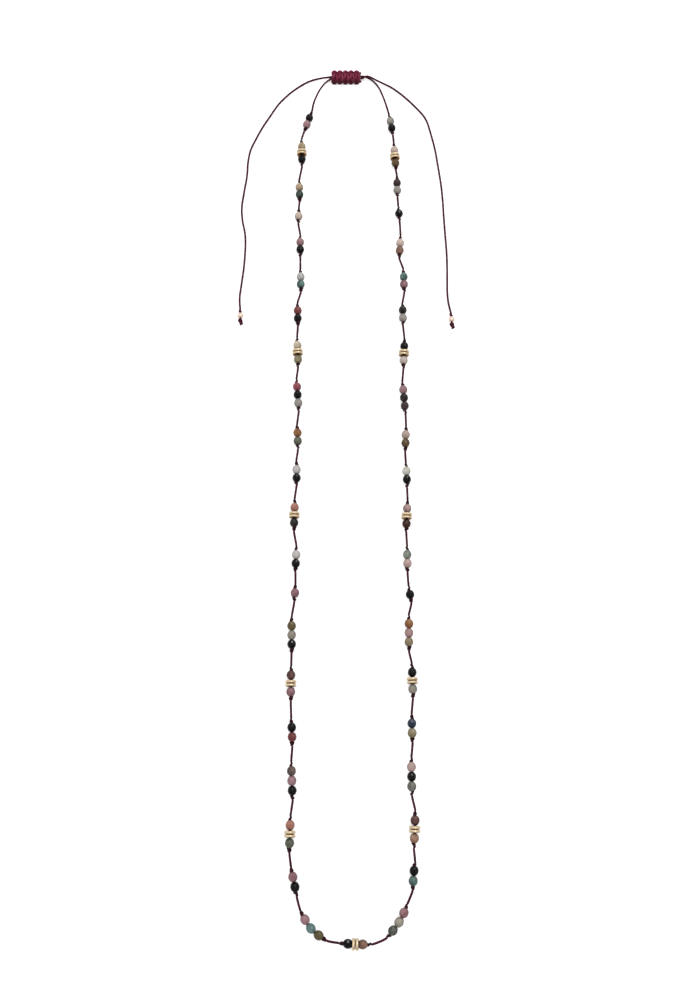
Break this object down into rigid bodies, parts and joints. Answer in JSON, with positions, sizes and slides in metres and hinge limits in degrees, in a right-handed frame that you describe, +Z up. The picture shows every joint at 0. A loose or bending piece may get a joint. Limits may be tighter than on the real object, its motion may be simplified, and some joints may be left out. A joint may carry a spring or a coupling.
{
  "type": "sautoir necklace",
  "caption": "Long adjustable necklace: small groups of cut stone beads and gold rings knotted on a thin waxed cord, with a sliding macrame knot and two free tails.",
  "frame": {"origin": "under the middle of the closed loop, on the surface that the necklace lies on", "axes": "+Z up from the surface, +Y along the loop from its lowest group to the sliding knot, +X to the right as seen from above"},
  "size_m": [0.1082, 0.4344, 0.0052],
  "materials": {
    "stone": "cut and tumbled stone in mixed colours",
    "gold": "polished pale gold plate",
    "cord": "twisted waxed cord, dark burgundy",
    "knot_cord": "knotted waxed cord, burgundy"
  },
  "bodies": {
    "root": {"sliding_knot": "knot_cord", "thread_left": "cord", "thread_right": "cord", "stones_left": "stone", "stones_right": "stone", "gold_ring_01": "gold", "gold_ring_02": "gold", "gold_ring_03": "gold", "gold_ring_04": "gold", "gold_ring_05": "gold", "gold_ring_06": "gold", "gold_ring_07": "gold", "gold_ring_08": "gold", "gold_ring_09": "gold", "gold_ring_10": "gold", "gold_ring_11": "gold", "gold_ring_12": "gold", "gold_ring_13": "gold", "gold_ring_14": "gold", "gold_ring_15": "gold", "gold_ring_16": "gold", "gold_ring_17": "gold", "gold_ring_18": "gold", "gold_ring_19": "gold", "gold_ring_20": "gold", "gold_ring_21": "gold", "gold_ring_22": "gold", "tail_left": "cord", "tail_right": "cord", "tail_stop_left": "cord", "tail_stop_right": "cord", "tail_ball_left": "gold", "tail_ball_right": "gold", "tail_knot_left": "cord", "tail_knot_right": "cord"}
  },
  "joints": []
}
